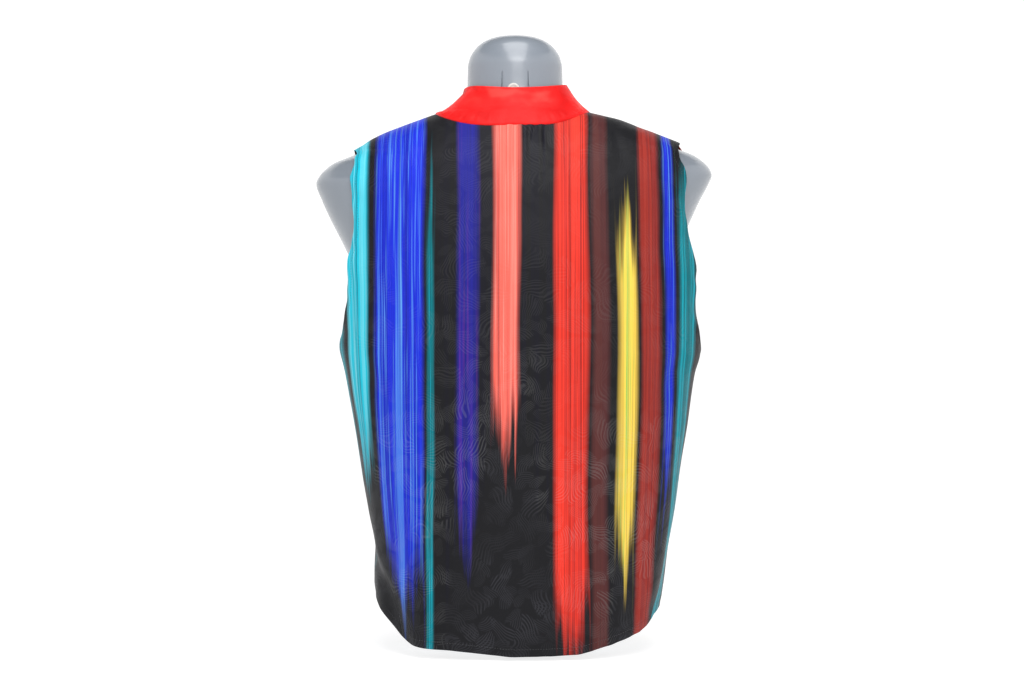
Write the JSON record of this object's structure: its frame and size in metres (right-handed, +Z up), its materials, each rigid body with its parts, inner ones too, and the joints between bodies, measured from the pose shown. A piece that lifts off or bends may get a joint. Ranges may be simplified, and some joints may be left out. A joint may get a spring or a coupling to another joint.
{
  "type": "sleeveless waistcoat on a torso form",
  "caption": "Sleeveless band-collared waistcoat in striped black jacquard silk with a red satin collar, worn on a limbless grey torso form that stands on its flat base.",
  "frame": {"origin": "the centre of the form's flat base, on the floor, below the middle of its neck", "axes": "+Z up; +Y to the garment's front; +X to its right-hand side as seen from behind"},
  "size_m": [0.474, 0.2571, 0.7333],
  "materials": {
    "form_plastic": "smooth grey plastic with a soft gloss",
    "printed_silk": "black jacquard silk printed with long coloured stripes",
    "collar_silk": "plain red silk satin",
    "button_black": "polished black plastic"
  },
  "bodies": {
    "root": {"torso_form": "form_plastic", "back": "printed_silk", "front_left": "printed_silk", "front_right": "printed_silk", "collar": "collar_silk", "button_1": "button_black", "button_2": "button_black", "button_3": "button_black", "button_4": "button_black", "button_5": "button_black"}
  },
  "joints": []
}
